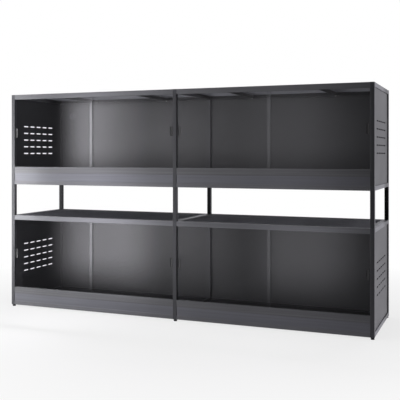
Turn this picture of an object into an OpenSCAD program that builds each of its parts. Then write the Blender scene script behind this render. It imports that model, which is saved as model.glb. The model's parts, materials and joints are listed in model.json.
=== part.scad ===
// Reptile terrarium: two glass-fronted enclosures, one above the other, each two bays wide.
// X runs along the front, the doors face -Y, and Z is up. The origin is under the middle.

/* [Overall] */
// Width of one bay, from the end of the frame to the middle of the shared post
bay_w = 1220; // [1000:10:1500]
// Depth of the frame, front to back
depth = 610; // [500:5:800]
// Height of one level
level_h = 610; // [500:5:800]
// Height of the spacer posts between the two levels
spacer_h = 210; // [100:5:400]

/* [Frame tubes] */
// Side of the square frame tube
profile = 25; // [25:1:30]
// Wall of the tubes and of the slots in them
tube_wall = 1.8; // [1.2:0.1:2]
// Outer corner radius of the tubes
edge_r = 1.5; // [0.5:0.1:2.5]
// Height of the front top rail, which holds the upper door channels
head_h = 32; // [32:1:45]
// Depth of a panel slot
slot_d = 8; // [6:0.5:8]
// Gap left where a tube butts against a joint block
butt_gap = 0.1; // [0.05:0.05:0.3]
// Length of a joint block's spigot inside its tube
spigot_l = 28; // [20:1:50]
// Clearance between a spigot and the tube around it
spigot_fit = 0.2; // [0.1:0.05:0.4]

/* [Panels] */
// Thickness of the back, side, floor and front dam panels
panel_t = 6; // [4:0.5:7]
// Distance from the frame's outer face to a panel
panel_inset = 6; // [5:0.5:7]
// Clearance on each face of a panel in its slot
panel_fit = 0.2; // [0.1:0.05:0.4]
// Clearance between a panel's edge and the bottom of its slot
seat_fit = 0.3; // [0.2:0.1:0.6]
// Height of the floor's underside above the bottom of the frame
floor_lift = 10; // [9:0.5:11]

/* [Front sill] */
// Distance from the frame's outer face to the dam panel, which stands nearly flush
dam_inset = 2; // [2:0.5:4]
// Visible height of the dam panel
dam_h = 53; // [30:1:90]
// Height of the sill rail that carries the glass doors
sill_h = 42; // [36:1:60]
// Depth of the door channels in the sill rail
sill_channel = 5; // [4:0.5:7]
// Depth of the door channels in the front top rail
head_channel = 14; // [12:0.5:15]
// Width of the shallow grooves along the sill rail's face
groove_w = 2; // [1:0.5:3]
// Depth of those grooves
groove_d = 0.9; // [0.4:0.1:1]

/* [Glass doors] */
// Thickness of the glass
glass_t = 4; // [3:0.5:5]
// Distance from the frame's front face to the front pane
track_inset = 6.5; // [6:0.5:7]
// Distance between the two panes of a bay, face to face in the same direction
track_pitch = 10.5; // [10:0.5:11]
// Clearance on each face of a pane in its channel
glass_fit = 1; // [0.5:0.1:1.2]
// Overlap of the two panes in the middle of a bay
door_overlap = 25; // [15:1:60]
// Gap between a closed pane and its post
door_gap = 0.5; // [0.3:0.1:2]
// How far a pane reaches into the upper channel
head_reach = 8; // [6:0.5:9]
// Width of a door handle
handle_w = 14; // [10:1:24]
// Height of a door handle
handle_h = 62; // [40:1:120]
// Thickness of a door handle
handle_t = 5.4; // [3:0.1:5.6]
// Distance from a pane's outer edge to its handle
handle_inset = 9; // [5:1:30]

/* [Screen top] */
// Width of the ledge that a screen lies on
ledge_w = 7; // [5:0.5:8]
// Depth of that ledge below the top of the frame
ledge_h = 5; // [4:0.5:6]
// Clearance round the edge of a screen
screen_fit = 0.4; // [0.2:0.1:0.6]
// Width of the screen's frame
screen_rim = 20; // [16:1:30]
// Thickness of the mesh sheet
mesh_t = 0.8; // [0.6:0.1:1]
// Openings of the mesh sheet along a bay
mesh_columns = 12; // [6:1:12]
// Openings of the mesh sheet from front to rear
mesh_rows = 6; // [3:1:8]
// Width of the bars between those openings
mesh_bar = 4; // [2:0.5:8]
// Depth of the screen frame's slot for the mesh
mesh_slot = 8; // [5:1:12]
// Width of a cross bar under the screen
bar_w = 25; // [16:1:40]
// Distance from a bay's middle to each cross bar, as a length
bar_offset = 284; // [150:1:400]
// Depth of the bar shelf below the top of the frame
shelf_drop = 23; // [20:1:24]
// Reach of the bar shelf from the rail
shelf_w = 12; // [10:1:18]
// Thickness of the bar shelf
shelf_t = 2; // [1.5:0.5:3]
// Wall of a cross bar
bar_wall = 1.5; // [1:0.1:2]
// Shank radius of the bar screws
screw_r = 2; // [1.5:0.1:2.5]
// Head radius of the bar screws
screw_head_r = 4; // [3:0.1:5]
// Head height of the bar screws
screw_head_h = 2.4; // [1.5:0.1:3.5]
// Length of a screw's shank
screw_l = 9; // [6:0.5:14]
// Clearance between a screw's shank and its hole
screw_fit = 0.2; // [0.1:0.05:0.4]

/* [Side vents] */
// Number of vent slots along the depth
vent_columns = 5; // [1:1:6]
// Number of vent slots up the side
vent_rows = 5; // [1:1:8]
// Length of a vent slot
vent_l = 56; // [20:1:66]
// Height of a vent slot
vent_h = 8; // [4:0.5:12]
// Distance between slots along the depth
vent_pitch_y = 75; // [72:1:90]
// Distance between slots up the side
vent_pitch_z = 47; // [30:1:60]

/* [Cable port] */
// Distance from the corner post to the middle of the port
port_from_post = 88; // [60:1:300]
// Distance from the top rail down to the middle of the port
port_drop = 97; // [60:1:300]
// Radius of the port's opening
port_r = 25; // [20:0.5:35]
// Width of the port's flange
flange_w = 8; // [6:0.5:14]
// Thickness of the port's flange
flange_t = 3; // [2:0.5:5]
// Wall of the sleeve through the back panel
sleeve_wall = 3; // [2:0.1:3.5]
// Clearance between the sleeve and the panel
sleeve_fit = 0.3; // [0.1:0.1:0.5]
// Width of the lip behind the turning cap
lip_w = 3; // [2:0.5:4]
// Clearance between the turning cap and the ring
cap_fit = 0.3; // [0.2:0.05:0.5]
// Width of the cap's rim
cap_rim = 4; // [3:0.5:6]
// Width of the cap's finger bar
cap_bar = 12; // [6:0.5:16]
// Width of the cable notch in the cap
notch_w = 14; // [8:0.5:16]
// Depth of the cable notch from the cap's edge
notch_d = 12; // [8:0.5:14]

/* [Feet] */
// Height of a foot
foot_h = 12; // [6:1:30]
// Radius of a foot at the floor
foot_r = 11; // [8:0.5:12]
// Radius of a foot under the frame
foot_top_r = 9; // [8:0.5:12]
// Radius of the stem pushed into the frame
stem_r = 4; // [3:0.5:5]
// Length of that stem
stem_l = 12; // [8:1:15]
// Clearance round the stem
stem_fit = 0.1; // [0.05:0.05:0.3]

/* [Hidden] */
$fn = 48;
LEVELS = ["lower", "upper"];
PIECES = [
  "posts", "front_top_rails", "rear_top_rails", "top_cross_rails", "front_bottom_rails",
  "rear_bottom_rails", "bottom_cross_rails", "corner_joints", "sill_rails", "dam_panels",
  "back_panel_left", "back_panel_right", "side_panel_left", "side_panel_right", "floor_panels",
  "screen_left", "screen_right", "cross_bars", "cable_grommet", "cable_cap",
  "door_1", "door_2", "door_3", "door_4", "handle_1", "handle_2", "handle_3", "handle_4"
];

over = 1; // how far a cut runs past the face that it opens
fine = 0.2; // a screen stands this far below the frame's top
levels = [0, 1];
level_z = [foot_h, foot_h + level_h + spacer_h];

// Where a panel's edge lies inside the frame, measured from the outer face
panel_edge = profile - slot_d + seat_fit;
// A spigot fills the outer corner of a tube, clear of the slots
spigot_low = tube_wall + spigot_fit;
spigot_high = profile - slot_d - tube_wall - spigot_fit;
// Where the middle posts leave room behind the back panels
mid_low = panel_inset + panel_t + panel_fit + tube_wall + spigot_fit;
mid_high = profile - tube_wall - spigot_fit;
// The lower edge of the ledge wall, measured from the top
ledge_under = ledge_h + tube_wall + spigot_fit;

// Clear width of a bay and the clear edges of the left one
open_w = bay_w - 1.5 * profile;
left_open = -bay_w + profile;
sill_top = profile + dam_h + sill_h;
head_under = level_h - head_h;

// Panes
pane_w = (open_w + door_overlap) / 2 - door_gap;
pane_low = sill_top - sill_channel + seat_fit;
pane_high = head_under + head_reach;
handle_z = (sill_top + head_under) / 2;
track_y = [track_inset, track_inset + track_pitch];

// Back panel and cable port
port_z = level_h - profile - port_drop;
port_x = left_open + port_from_post;
back_inner = panel_inset + panel_t;
sleeve_r = port_r + sleeve_wall;
cap_r = port_r - cap_fit;
cap_low = panel_inset + lip_w;
recess_floor = 2;

bar_h = shelf_drop - ledge_h - fine;

function slot_above(a, t) = [[a - panel_fit, profile - slot_d], [t + 2 * panel_fit, slot_d + over]];
function slot_below(a, t) = [[a - panel_fit, -over], [t + 2 * panel_fit, slot_d + over]];
function slot_beyond(b, t) = [[profile - slot_d, b - panel_fit], [slot_d + over, t + 2 * panel_fit]];
function slot_before(b, t) = [[-over, b - panel_fit], [slot_d + over, t + 2 * panel_fit]];
function ledge_beyond(h) = [[profile - ledge_w, h - ledge_h], [ledge_w + over, ledge_h + over]];
function ledge_before(h) = [[-over, h - ledge_h], [ledge_w + over, ledge_h + over]];
function channel(k, low, high) = [[track_y[k] - glass_fit, low], [glass_t + 2 * glass_fit, high - low]];

// ---- Sections and frames of reference ----

module rounded_rect(size, r) {
  translate([r, 0]) square([size.x - 2 * r, size.y]);
  translate([0, r]) square([size.x, size.y - 2 * r]);
  for (x = [r, size.x - r], y = [r, size.y - r]) translate([x, y]) circle(r);
}

// A hollow tube's section; each slot is a position and a size, and brings its own wall
module tube_section(size, slots = []) {
  wall = [tube_wall, tube_wall];
  difference() {
    union() {
      difference() {
        rounded_rect(size, edge_r);
        translate(wall) square(size - 2 * wall);
      }
      if (len(slots) > 0) intersection() {
        rounded_rect(size, edge_r);
        for (s = slots) translate(s[0] - wall) square(s[1] + 2 * wall);
      }
    }
    for (s = slots) translate(s[0]) square(s[1]);
  }
}

// Extrudes a section drawn in (y, z) along x
module along_x(from, to) translate([from, 0, 0]) rotate([90, 0, 90]) linear_extrude(to - from) children();

// Extrudes a section drawn in (x, z) along y
module along_y(from, to) translate([0, to, 0]) rotate([90, 0, 0]) linear_extrude(to - from) children();

// Measures x and y inwards from one outer corner of the frame; side and end are -1 or 1
module from_corner(side, end) {
  translate([side * bay_w, end * depth / 2, 0])
    mirror([side > 0 ? 1 : 0, 0, 0]) mirror([0, end > 0 ? 1 : 0, 0]) children();
}

// Measures y inwards from the front or the rear face, and x from the middle
module from_face(end) {
  translate([0, end * depth / 2, 0]) mirror([0, end > 0 ? 1 : 0, 0]) children();
}

module each_bay() {
  children();
  mirror([1, 0, 0]) children();
}

module box(from, to) translate(from) cube(to - from);

// ---- Panels, each with the slot that it needs ----

// A panel's slab, grown by the clearance on its faces and edges
module side_slab(face = 0, edge = 0) {
  box([panel_inset - face, panel_edge - edge, panel_edge - edge],
      [panel_inset + panel_t + face, depth - panel_edge + edge, level_h - panel_edge + edge]);
}

module back_slab(face = 0, edge = 0) {
  box([-bay_w + panel_edge - edge, panel_inset - face, panel_edge - edge],
      [-profile / 2 + profile - panel_edge + edge, panel_inset + panel_t + face, level_h - panel_edge + edge]);
}

module floor_slab(face = 0, edge = 0) {
  box([-bay_w + panel_edge - edge, panel_edge - edge, floor_lift - face],
      [-profile / 2 + profile - panel_edge + edge, depth - panel_edge + edge, floor_lift + panel_t + face]);
}

module screen_slab(edge = 0) {
  rim = profile - ledge_w + screen_fit;
  box([-bay_w + rim - edge, rim - edge, level_h - ledge_h],
      [-profile / 2 + ledge_w - screen_fit + edge, depth - rim + edge, level_h - fine + edge]);
}

// ---- Tubes ----

module posts() color("#3f4043") {
  for (side = [-1, 1]) {
    from_corner(side, -1) translate([0, 0, profile + butt_gap])
      linear_extrude(level_h - head_h - profile - 2 * butt_gap)
        tube_section([profile, profile], [slot_above(panel_inset, panel_t)]);
    from_corner(side, 1) translate([0, 0, profile + butt_gap])
      linear_extrude(level_h - 2 * profile - 2 * butt_gap)
        tube_section([profile, profile], [slot_above(panel_inset, panel_t), slot_beyond(panel_inset, panel_t)]);
  }
  from_face(-1) translate([-profile / 2, 0, profile + butt_gap])
    linear_extrude(level_h - head_h - profile - 2 * butt_gap) tube_section([profile, profile]);
  from_face(1) translate([-profile / 2, 0, profile + butt_gap])
    linear_extrude(level_h - 2 * profile - 2 * butt_gap)
      tube_section([profile, profile], [slot_before(panel_inset, panel_t), slot_beyond(panel_inset, panel_t)]);
}

module spacer_posts() color("#3f4043") {
  for (side = [-1, 1], end = [-1, 1]) from_corner(side, end) spacer_tube();
  for (end = [-1, 1]) from_face(end) translate([-profile / 2, 0, 0]) spacer_tube();
}

module spacer_tube() {
  translate([0, 0, level_z[0] + level_h + butt_gap])
    linear_extrude(spacer_h - 2 * butt_gap) tube_section([profile, profile]);
}

// The shelf along a top rail that carries the ends of the cross bars
module shelf_section(height) {
  translate([profile - tube_wall, height - shelf_drop - shelf_t]) square([shelf_w + tube_wall, shelf_t]);
}

module bar_holes() {
  for (x = bar_centres()) translate([x, profile + shelf_w / 2, level_h - shelf_drop - shelf_t - over])
    cylinder(r = screw_r + screw_fit, h = shelf_t + bar_wall + 2 * over);
}

function bar_centres() = [for (s = [-1, 1]) left_open + open_w / 2 + s * bar_offset];

module front_top_rails() color("#4a4b4e") each_bay() from_face(-1) difference() {
  along_x(left_open + butt_gap, -profile / 2 - butt_gap) translate([0, head_under]) {
    tube_section([profile, head_h], [
      ledge_beyond(head_h),
      channel(0, -over, head_channel),
      channel(1, -over, head_channel)
    ]);
    shelf_section(head_h);
  }
  bar_holes();
}

module rear_top_rails() color("#3a3b3e") each_bay() from_face(1) difference() {
  along_x(left_open + butt_gap, -profile / 2 - butt_gap) translate([0, level_h - profile]) {
    tube_section([profile, profile], [ledge_beyond(profile), slot_below(panel_inset, panel_t)]);
    shelf_section(profile);
  }
  bar_holes();
}

module top_cross_rails() color("#55565a") {
  for (side = [-1, 1]) from_corner(side, -1) cross_run() translate([0, level_h - profile])
    tube_section([profile, profile], [ledge_beyond(profile), slot_below(panel_inset, panel_t)]);
  from_face(-1) cross_run() translate([-profile / 2, level_h - profile])
    tube_section([profile, profile], [ledge_before(profile), ledge_beyond(profile)]);
}

module cross_run() along_y(profile + butt_gap, depth - profile - butt_gap) children();

module front_bottom_rails() color("#4a4b4e") each_bay() from_face(-1)
  along_x(left_open + butt_gap, -profile / 2 - butt_gap)
    tube_section([profile, profile], [slot_above(dam_inset, panel_t), slot_beyond(floor_lift, panel_t)]);

module rear_bottom_rails() color("#3a3b3e") each_bay() from_face(1)
  along_x(left_open + butt_gap, -profile / 2 - butt_gap)
    tube_section([profile, profile], [slot_above(panel_inset, panel_t), slot_beyond(floor_lift, panel_t)]);

module bottom_cross_rails() color("#55565a") {
  for (side = [-1, 1]) from_corner(side, -1) cross_run()
    tube_section([profile, profile], [slot_above(panel_inset, panel_t), slot_beyond(floor_lift, panel_t)]);
  from_face(-1) cross_run() translate([-profile / 2, 0])
    tube_section([profile, profile], [slot_before(floor_lift, panel_t), slot_beyond(floor_lift, panel_t)]);
}

// The sill rail stands on the dam panel and holds the lower door channels
module sill_rails() color("#4a4b4e") each_bay() from_face(-1)
  along_x(left_open + butt_gap, -profile / 2 - butt_gap) translate([0, profile + dam_h]) difference() {
    tube_section([profile, sill_h], [
      slot_below(dam_inset, panel_t),
      channel(0, sill_h - sill_channel, sill_h + over),
      channel(1, sill_h - sill_channel, sill_h + over)
    ]);
    for (z = [1, 2] * sill_h / 3) translate([-over, z - groove_w / 2]) square([groove_d + over, groove_w]);
  }

// ---- Joint blocks, with a spigot into every tube that meets them ----

module joint_block(height) {
  linear_extrude(height) rounded_rect([profile, profile], edge_r);
}

// Spigots of a corner, for a block whose outer corner is the origin and which stands on z = 0
module corner_spigots() {
  low = spigot_low;
  high = spigot_high;
  box([profile - over, low, low], [profile + spigot_l, high, high]);
  box([low, profile - over, low], [high, profile + spigot_l, high]);
}

module post_spigot(from, to) box([spigot_low, spigot_low, from], [spigot_high, spigot_high, to]);

module corner_bottom() difference() {
  union() {
    joint_block(profile);
    corner_spigots();
    post_spigot(profile - over, profile + spigot_l);
  }
  side_slab(panel_fit, seat_fit);
}

module corner_top(height) difference() {
  translate([0, 0, level_h]) union() {
    translate([0, 0, -height]) joint_block(height);
    mirror([0, 0, 1]) corner_spigots();
    post_spigot(-height - spigot_l, -height + over);
  }
  side_slab(panel_fit, seat_fit);
}

// Spigots of a middle block into the rails on both sides
module mid_rail_spigots() {
  for (s = [0, 1]) translate([s * profile, 0, 0]) mirror([1 - s, 0, 0])
    box([-over, spigot_low, spigot_low], [spigot_l, spigot_high, spigot_high]);
}

module mid_bottom() {
  joint_block(profile);
  mid_rail_spigots();
  box([spigot_low, profile - over, spigot_low],
      [mid_high, profile + spigot_l, floor_lift - panel_fit - tube_wall - spigot_fit]);
  box([spigot_low, mid_low, profile - over], [mid_high, mid_high, profile + spigot_l]);
}

module mid_top(height) translate([0, 0, level_h]) {
  translate([0, 0, -height]) joint_block(height);
  mirror([0, 0, 1]) mid_rail_spigots();
  box([spigot_low, profile - over, -mid_high], [mid_high, profile + spigot_l, -ledge_under]);
  box([spigot_low, mid_low, -height - spigot_l], [mid_high, mid_high, -height + over]);
}

// The seats that panels, screens and feet need in the joint blocks
module joint_seats(stem) {
  each_bay() {
    from_face(1) back_slab(panel_fit, seat_fit);
    from_face(-1) floor_slab(panel_fit, seat_fit);
    from_face(-1) screen_slab(screen_fit);
  }
  if (stem) stem_places() translate([0, 0, -over]) cylinder(r = stem_r + stem_fit, h = stem_l + 2 * over);
}

module stem_places() {
  for (end = [-1, 1]) {
    for (side = [-1, 1]) from_corner(side, end) translate([profile / 2, profile / 2, 0]) children();
    from_face(end) translate([0, profile / 2, 0]) children();
  }
}

module corner_joints(level) color("#323336") difference() {
  union() {
    for (side = [-1, 1], end = [-1, 1]) from_corner(side, end) {
      corner_bottom();
      corner_top(end < 0 ? head_h : profile);
    }
    for (end = [-1, 1]) from_face(end) translate([-profile / 2, 0, 0]) {
      mid_bottom();
      mid_top(end < 0 ? head_h : profile);
    }
    spacer_spigots(level);
  }
  joint_seats(level == 0);
}

// The lower blocks reach up into the spacer posts, and the upper blocks reach down
module spacer_spigots(level) {
  base = level == 0 ? level_h - over : -spigot_l;
  stem_places() translate([-profile / 2, -profile / 2, 0])
    box([spigot_low, spigot_low, base], [mid_high, spigot_high, base + spigot_l + over]);
}

// ---- Panels ----

module dam_panels() color("#3c3d40") each_bay() from_face(-1)
  box([left_open + door_gap, dam_inset, panel_edge],
      [-profile / 2 - door_gap, dam_inset + panel_t, profile + dam_h + slot_d - seat_fit]);

module floor_panels() color("#1d1d1f") each_bay() from_face(-1) floor_slab();

module back_panel_left() color("#2a2b2d") from_face(1) difference() {
  back_slab();
  translate([port_x, 0, port_z]) rotate([-90, 0, 0]) cylinder(r = sleeve_r + sleeve_fit, h = profile);
}

module back_panel_right() color("#2a2b2d") mirror([1, 0, 0]) from_face(1) back_slab();

module vent_slot() {
  reach = (vent_l - vent_h) / 2;
  square([2 * reach, vent_h], center = true);
  for (s = [-1, 1]) translate([s * reach, 0]) circle(vent_h / 2);
}

module side_panel(side) color("#5d5e62") from_corner(side, -1) difference() {
  side_slab();
  along_x(panel_inset - over, panel_inset + panel_t + over) translate([depth / 2, level_h / 2])
    for (i = [1:vent_columns], j = [1:vent_rows])
      translate([(i - (vent_columns + 1) / 2) * vent_pitch_y, (j - (vent_rows + 1) / 2) * vent_pitch_z])
        vent_slot();
}

// ---- Screen tops and the bars under them ----

// A flat sheet with a plain grid of openings, and a solid border where the frame holds it
module mesh_sheet(size, border) {
  clear = size - 2 * [border, border];
  cell = [(clear.x + mesh_bar) / mesh_columns, (clear.y + mesh_bar) / mesh_rows];
  linear_extrude(mesh_t) difference() {
    square(size);
    for (i = [0:mesh_columns - 1], j = [0:mesh_rows - 1])
      translate([border + i * cell.x, border + j * cell.y]) square(cell - [mesh_bar, mesh_bar]);
  }
}

module screen_left() color("#2c2d2f") from_face(-1) {
  rim = profile - ledge_w + screen_fit;
  inner = rim + screen_rim;
  mid = -profile / 2 + ledge_w - screen_fit;
  mesh_z = level_h - (ledge_h + fine) / 2;
  slot_reach = inner - mesh_slot;
  difference() {
    screen_slab();
    box([-bay_w + inner, inner, level_h - profile], [mid - screen_rim, depth - inner, level_h + over]);
    box([-bay_w + slot_reach, slot_reach, mesh_z - mesh_t / 2 - fine],
        [mid - screen_rim + mesh_slot, depth - slot_reach, mesh_z + mesh_t / 2 + fine]);
  }
  sheet_low = [-bay_w + slot_reach + seat_fit, slot_reach + seat_fit];
  sheet_high = [mid - screen_rim + mesh_slot - seat_fit, depth - slot_reach - seat_fit];
  translate([sheet_low.x, sheet_low.y, mesh_z - mesh_t / 2])
    mesh_sheet(sheet_high - sheet_low, mesh_slot + mesh_bar);
}

module screen_right() mirror([1, 0, 0]) screen_left();

module cross_bars() color("#242527") each_bay() from_face(-1) difference() {
  for (x = bar_centres()) translate([x - bar_w / 2, 0, level_h - shelf_drop])
    along_y(profile + fine, depth - profile - fine) difference() {
      rounded_rect([bar_w, bar_h], edge_r);
      translate([bar_wall, bar_wall]) square([bar_w - 2 * bar_wall, bar_h - 2 * bar_wall]);
    }
  bar_holes();
  translate([0, depth, 0]) mirror([0, 1, 0]) bar_holes();
}

module bar_screws() color("#c9cacd") for (z = level_z) translate([0, 0, z])
  each_bay() for (end = [-1, 1]) from_face(end) for (x = bar_centres())
    translate([x, profile + shelf_w / 2, level_h - shelf_drop - shelf_t]) {
      cylinder(r = screw_r, h = screw_l);
      translate([0, 0, -screw_head_h]) cylinder(r = screw_head_r, h = screw_head_h);
    }

// ---- Cable port in the back panel of the left bay ----

module at_port() from_face(1) translate([port_x, 0, port_z]) rotate([-90, 0, 0]) children();

module cable_grommet() color("#4b4c50") at_port() difference() {
  union() {
    translate([0, 0, panel_inset]) cylinder(r = sleeve_r, h = panel_t + flange_t);
    translate([0, 0, back_inner]) cylinder(r = port_r + flange_w, h = flange_t);
  }
  translate([0, 0, cap_low]) cylinder(r = port_r, h = profile);
  cylinder(r = port_r - lip_w, h = profile);
}

module cable_cap() color("#a9aaae") at_port() difference() {
  translate([0, 0, cap_low + cap_fit]) cylinder(r = cap_r, h = back_inner + flange_t - cap_low - cap_fit);
  translate([0, 0, cap_low + cap_fit + recess_floor]) difference() {
    cylinder(r = cap_r - cap_rim, h = profile);
    translate([-cap_bar / 2, -port_r, 0]) cube([cap_bar, 2 * port_r, profile]);
  }
  translate([-notch_w / 2, cap_r - notch_d, 0]) cube([notch_w, notch_d + over, profile]);
}

// ---- Sliding glass doors ----

// Left edge of each pane and the channel that it runs in, from left to right
function pane_x(i) = (i < 2 ? left_open : profile / 2) + (i % 2 == 0 ? door_gap : open_w - door_gap - pane_w);
function handle_x(i) = pane_x(i) + (i % 2 == 0 ? handle_inset : pane_w - handle_inset - handle_w);

module door(i) color("#b9c4c8", 0.35) from_face(-1)
  box([pane_x(i), track_y[i % 2], pane_low], [pane_x(i) + pane_w, track_y[i % 2] + glass_t, pane_high]);

module handle(i) color("#b4b5b8") from_face(-1)
  translate([handle_x(i), track_y[i % 2], handle_z - handle_h / 2]) rotate([90, 0, 0])
    difference() {
      linear_extrude(handle_t) rounded_rect([handle_w, handle_h], handle_w / 3);
      translate([handle_w / 2, handle_h / 2, handle_t + handle_w / 2]) rotate([90, 0, 0])
        cylinder(r = handle_w / 2 + handle_t / 4, h = handle_h * 0.7, center = true);
    }

// ---- Feet ----

module feet() color("#1b1b1c") translate([0, 0, foot_h]) stem_places() {
  translate([0, 0, -foot_h]) cylinder(r1 = foot_r, r2 = foot_top_r, h = foot_h);
  cylinder(r = stem_r, h = stem_l);
}

// ---- Assembly ----

for (i = levels) let(level = LEVELS[i]) translate([0, 0, level_z[i]]) {
  posts();
  front_top_rails();
  rear_top_rails();
  top_cross_rails();
  front_bottom_rails();
  rear_bottom_rails();
  bottom_cross_rails();
  corner_joints(i);
  sill_rails();
  dam_panels();
  back_panel_left();
  back_panel_right();
  side_panel(-1);
  side_panel(1);
  floor_panels();
  screen_left();
  screen_right();
  cross_bars();
  cable_grommet();
  cable_cap();
  for (n = [0:3]) {
    door(n);
    handle(n);
  }
}
spacer_posts();
bar_screws();
feet();
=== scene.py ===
"""Looks of the two-level reptile terrarium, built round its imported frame."""

from __future__ import annotations

import json
import logging
import math
from abc import ABC, abstractmethod
from collections.abc import Callable, Iterator
from contextlib import contextmanager
from dataclasses import dataclass
from enum import Enum

import bmesh
import bpy
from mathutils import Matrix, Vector

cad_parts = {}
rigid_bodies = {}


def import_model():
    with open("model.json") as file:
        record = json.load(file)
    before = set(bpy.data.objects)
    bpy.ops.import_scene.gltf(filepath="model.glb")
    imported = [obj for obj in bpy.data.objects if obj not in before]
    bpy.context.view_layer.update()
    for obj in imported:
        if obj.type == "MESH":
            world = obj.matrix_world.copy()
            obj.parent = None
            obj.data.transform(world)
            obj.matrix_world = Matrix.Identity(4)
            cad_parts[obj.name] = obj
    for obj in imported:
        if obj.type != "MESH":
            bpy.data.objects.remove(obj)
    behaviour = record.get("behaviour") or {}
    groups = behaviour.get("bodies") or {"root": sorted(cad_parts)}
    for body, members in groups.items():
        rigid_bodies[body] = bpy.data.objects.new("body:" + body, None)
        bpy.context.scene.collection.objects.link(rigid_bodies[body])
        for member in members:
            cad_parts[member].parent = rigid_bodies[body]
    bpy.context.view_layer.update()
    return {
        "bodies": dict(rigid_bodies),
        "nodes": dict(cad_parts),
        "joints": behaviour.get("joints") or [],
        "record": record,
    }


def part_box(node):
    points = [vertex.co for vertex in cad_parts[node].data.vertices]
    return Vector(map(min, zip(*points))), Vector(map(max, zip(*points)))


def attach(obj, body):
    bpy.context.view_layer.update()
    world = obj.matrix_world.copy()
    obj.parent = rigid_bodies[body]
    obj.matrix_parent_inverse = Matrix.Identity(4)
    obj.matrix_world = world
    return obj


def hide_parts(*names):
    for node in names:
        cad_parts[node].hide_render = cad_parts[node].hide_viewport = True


log = logging.getLogger("terrarium")

Colour = tuple[float, float, float, float]
Triple = tuple[float, float, float]
Span = tuple[float, float]
Box = tuple[Vector, Vector]
Test = Callable[[Vector, Vector], bool]
Piece = bpy.types.Object
Node = bpy.types.Node
Socket = bpy.types.NodeSocket

LEVELS = ("lower", "upper")
SIDES = ("left", "right")
DOORS = (1, 2, 3, 4)
CABINET = "cabinet"

REAR = Vector((0, 1, 0))
FRONT = Vector((0, -1, 0))
UP = Vector((0, 0, 1))
DOWN = Vector((0, 0, -1))
STRAIGHT = 0.9  # least cosine at which a face looks in a direction
SAME = 1e-4  # metres within which two places count as one
MERGE = 1e-6  # metres within which corners are merged
THROUGH = 3.0  # thicknesses by which a cutter reaches past a plate
SMOOTH_DEG = 35.0  # edges under this angle are shaded smooth

GREEN_OF_BLUE = 0.1  # share of a tint's blue that also goes to green
WHITE: Colour = (1.0, 1.0, 1.0, 1.0)


# ---- Shader sketching ----


class Field:
    """A number that changes over a surface, written as a Python expression."""

    def __init__(self, sketch: Sketch, socket: Socket) -> None:
        """Wraps an output of a sketch's node."""
        self.sketch = sketch
        self.socket = socket

    def _with(self, operation: str, first: Field | float, second: Field | float) -> Field:
        """Adds one Math node and gives its result."""
        node = self.sketch.node("ShaderNodeMath", {0: first, 1: second}, operation=operation)
        return Field(self.sketch, node.outputs[0])

    def __add__(self, other: Field | float) -> Field:
        """Adds."""
        return self._with("ADD", self, other)

    def __radd__(self, other: float) -> Field:
        """Adds, reflected."""
        return self._with("ADD", other, self)

    def __sub__(self, other: Field | float) -> Field:
        """Subtracts."""
        return self._with("SUBTRACT", self, other)

    def __rsub__(self, other: float) -> Field:
        """Subtracts, reflected."""
        return self._with("SUBTRACT", other, self)

    def __mul__(self, other: Field | float) -> Field:
        """Multiplies."""
        return self._with("MULTIPLY", self, other)

    def __rmul__(self, other: float) -> Field:
        """Multiplies, reflected."""
        return self._with("MULTIPLY", other, self)

    def larger(self, other: Field | float) -> Field:
        """Gives the larger of two numbers."""
        return self._with("MAXIMUM", self, other)

    def clipped(self) -> Field:
        """Keeps the number between 0 and 1."""
        return self._with("MINIMUM", self.larger(0.0), 1.0)

    def above(self, edge: float, width: float) -> Field:
        """Gives 0 under an edge, 1 past it, and a straight slope of a width between."""
        return ((self - edge) * (1.0 / width)).clipped()


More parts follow.
